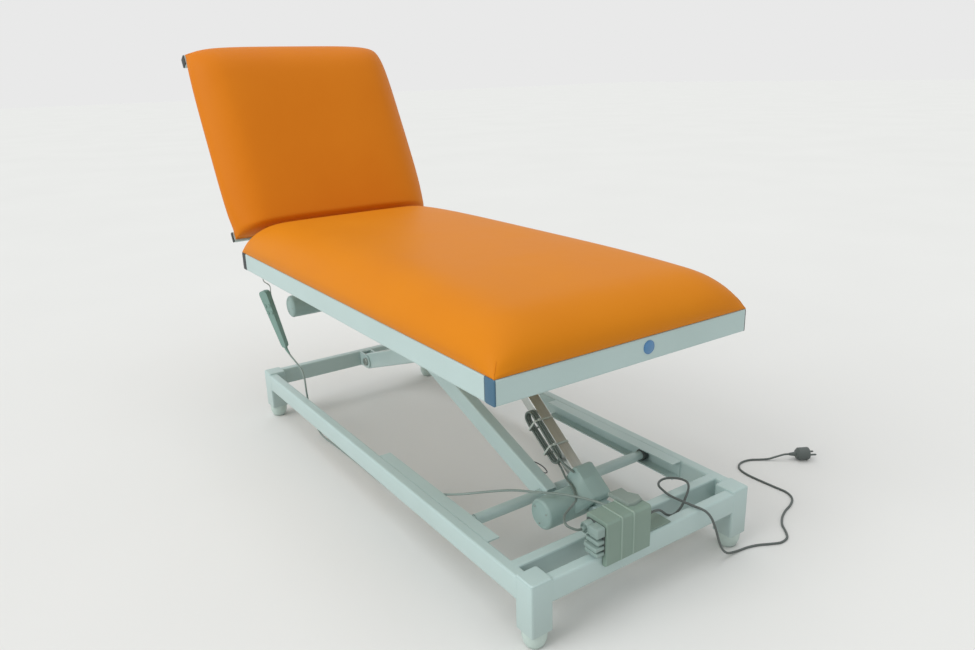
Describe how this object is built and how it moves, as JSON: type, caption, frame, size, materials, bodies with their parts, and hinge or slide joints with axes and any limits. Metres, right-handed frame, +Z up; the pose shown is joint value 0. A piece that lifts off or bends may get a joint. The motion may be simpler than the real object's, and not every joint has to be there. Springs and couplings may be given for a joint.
{
  "type": "electric examination couch",
  "caption": "Height-adjustable examination couch: padded seat and raised backrest on a tubular bed, crossed lift arms, two linear actuators, base on dome feet and a wired handset.",
  "frame": {"origin": "on the floor, under the middle of the couch's box without its cords", "axes": "+X towards the foot end, +Y towards the couch's right side seen from its foot end, +Z up"},
  "size_m": [1.7822, 1.1091, 1.11],
  "materials": {
    "frame_enamel": "satin",
    "foot_plastic": "satin",
    "zinc_steel": "satin",
    "housing_grey": "satin",
    "box_grey": "matte",
    "bright_tube": "satin",
    "roller_nylon": "satin",
    "upholstery": "satin",
    "plywood": "matte",
    "handset_grey": "matte",
    "button_pale": "satin",
    "cord_grey": "matte"
  },
  "bodies": {
    "base": {"base_rail_left": "frame_enamel", "base_rail_right": "frame_enamel", "base_end_head": "frame_enamel", "base_end_foot": "frame_enamel", "base_crossbar_inner": "frame_enamel", "arm_pivot_bracket": "frame_enamel", "arm_pivot_pin": "zinc_steel", "lift_pivot_pin": "zinc_steel", "foot_head_left": "foot_plastic", "foot_head_right": "foot_plastic", "foot_foot_left": "foot_plastic", "foot_foot_right": "foot_plastic", "control_box": "box_grey", "control_box_plugs": "housing_grey", "mains_strain_relief": "cord_grey", "mains_lead": "cord_grey", "mains_plug": "cord_grey", "handset_lead": "cord_grey"},
    "arm_head": {"lift_arm_head": "frame_enamel", "lift_head_shaft": "frame_enamel"},
    "bed_roller_left": {"bed_roller_left": "roller_nylon"},
    "bed_roller_right": {"bed_roller_right": "roller_nylon"},
    "arm_foot": {"lift_arm_foot": "frame_enamel", "lift_foot_shaft": "frame_enamel"},
    "base_roller_left": {"base_roller_left": "roller_nylon"},
    "base_roller_right": {"base_roller_right": "roller_nylon"},
    "lift_actuator": {"lift_gearbox": "housing_grey", "lift_motor": "housing_grey", "lift_outer_tube": "bright_tube", "lift_lead": "cord_grey"},
    "lift_rod": {"lift_rod": "zinc_steel"},
    "bed": {"bed_rail_left": "frame_enamel", "bed_rail_right": "frame_enamel", "bed_cross_rail_head": "frame_enamel", "bed_cross_rail_foot": "frame_enamel", "bed_pivot_bracket": "frame_enamel", "bed_pivot_pin": "zinc_steel", "seat_board": "plywood", "seat_pad": "upholstery", "backrest_hinge_left": "frame_enamel", "backrest_hinge_right": "frame_enamel", "backrest_drop_bracket": "frame_enamel", "handset_hook": "zinc_steel", "handset_shell": "handset_grey", "backrest_lead": "cord_grey"},
    "backrest": {"backrest_tube_lower": "frame_enamel", "backrest_tube_middle": "frame_enamel", "backrest_tube_upper": "frame_enamel", "backrest_tube_left": "frame_enamel", "backrest_tube_right": "frame_enamel", "backrest_board": "plywood", "backrest_pad": "upholstery"},
    "backrest_actuator": {"backrest_gearbox": "housing_grey", "backrest_motor": "housing_grey", "backrest_outer_tube": "bright_tube"},
    "backrest_rod": {"backrest_rod": "zinc_steel"},
    "button_1": {"handset_button_1": "button_pale"},
    "button_2": {"handset_button_2": "button_pale"},
    "button_3": {"handset_button_3": "button_pale"},
    "button_4": {"handset_button_4": "button_pale"}
  },
  "joints": [
    {"name": "lift", "type": "slide", "parent": "base", "child": "bed", "axis": [0, 0, 1], "range_m": [-0.105, 0.19], "deforming": ["handset_lead", "lift_lead"]},
    {"name": "arm_head_pivot", "type": "hinge", "parent": "base", "child": "arm_head", "pos_m": [-0.4365, 0.04, 0.1225], "axis": [0, -1, 0], "range_deg": [-6.2, 11]},
    {"name": "arm_foot_pivot", "type": "hinge", "parent": "bed", "child": "arm_foot", "pos_m": [-0.4365, -0.04, 0.487], "axis": [0, 1, 0], "range_deg": [-6.2, 11]},
    {"name": "lift_actuator_pivot", "type": "hinge", "parent": "base", "child": "lift_actuator", "pos_m": [0.7195, 0, 0.123], "axis": [0, 1, 0], "range_deg": [-4.4, 7.9]},
    {"name": "lift_rod_slide", "type": "slide", "parent": "lift_actuator", "child": "lift_rod", "axis": [-0.8046, 0, 0.5938], "range_m": [-0.0776, 0.1397]},
    {"name": "backrest_hinge", "type": "hinge", "parent": "bed", "child": "backrest", "pos_m": [-0.5265, 0, 0.566], "axis": [0, 1, 0], "range_deg": [-62, 0], "deforming": ["backrest_lead"]},
    {"name": "backrest_actuator_pivot", "type": "hinge", "parent": "bed", "child": "backrest_actuator", "pos_m": [-0.5105, -0.095, 0.39], "axis": [0, 1, 0], "range_deg": [-31, 0.2]},
    {"name": "backrest_rod_slide", "type": "slide", "parent": "backrest_actuator", "child": "backrest_rod", "axis": [-0.4605, 0, 0.8877], "range_m": [-0.1314, 0.0003]},
    {"name": "bed_roller_left_turn", "type": "hinge", "parent": "arm_head", "child": "bed_roller_left", "pos_m": [0.5795, -0.2822, 0.487], "axis": [0, 1, 0], "continuous": true},
    {"name": "bed_roller_right_turn", "type": "hinge", "parent": "arm_head", "child": "bed_roller_right", "pos_m": [0.5795, 0.2822, 0.487], "axis": [0, 1, 0], "continuous": true},
    {"name": "base_roller_left_turn", "type": "hinge", "parent": "arm_foot", "child": "base_roller_left", "pos_m": [0.5795, -0.2602, 0.1225], "axis": [0, 1, 0], "continuous": true},
    {"name": "base_roller_right_turn", "type": "hinge", "parent": "arm_foot", "child": "base_roller_right", "pos_m": [0.5795, 0.2602, 0.1225], "axis": [0, 1, 0], "continuous": true},
    {"name": "button_1_press", "type": "slide", "parent": "bed", "child": "button_1", "axis": [-0.4, 0.9069, 0.1323], "range_m": [0, 0.0015], "stiffness_N_per_m": 400, "springref_m": -0.0015},
    {"name": "button_2_press", "type": "slide", "parent": "bed", "child": "button_2", "axis": [-0.4, 0.9069, 0.1323], "range_m": [0, 0.0015], "stiffness_N_per_m": 400, "springref_m": -0.0015},
    {"name": "button_3_press", "type": "slide", "parent": "bed", "child": "button_3", "axis": [-0.4, 0.9069, 0.1323], "range_m": [0, 0.0015], "stiffness_N_per_m": 400, "springref_m": -0.0015},
    {"name": "button_4_press", "type": "slide", "parent": "bed", "child": "button_4", "axis": [-0.4, 0.9069, 0.1323], "range_m": [0, 0.0015], "stiffness_N_per_m": 400, "springref_m": -0.0015}
  ],
  "couplings": [
    {"joint": "arm_head_pivot", "follows": "lift", "rad_per_m": 1.0041},
    {"joint": "arm_foot_pivot", "follows": "lift", "rad_per_m": 1.0041},
    {"joint": "lift_actuator_pivot", "follows": "lift", "rad_per_m": 0.7146},
    {"joint": "lift_rod_slide", "follows": "lift", "ratio": 0.7334},
    {"joint": "backrest_actuator_pivot", "follows": "backrest_hinge", "ratio": 0.4965},
    {"joint": "backrest_rod_slide", "follows": "backrest_hinge", "m_per_rad": 0.1209}
  ]
}
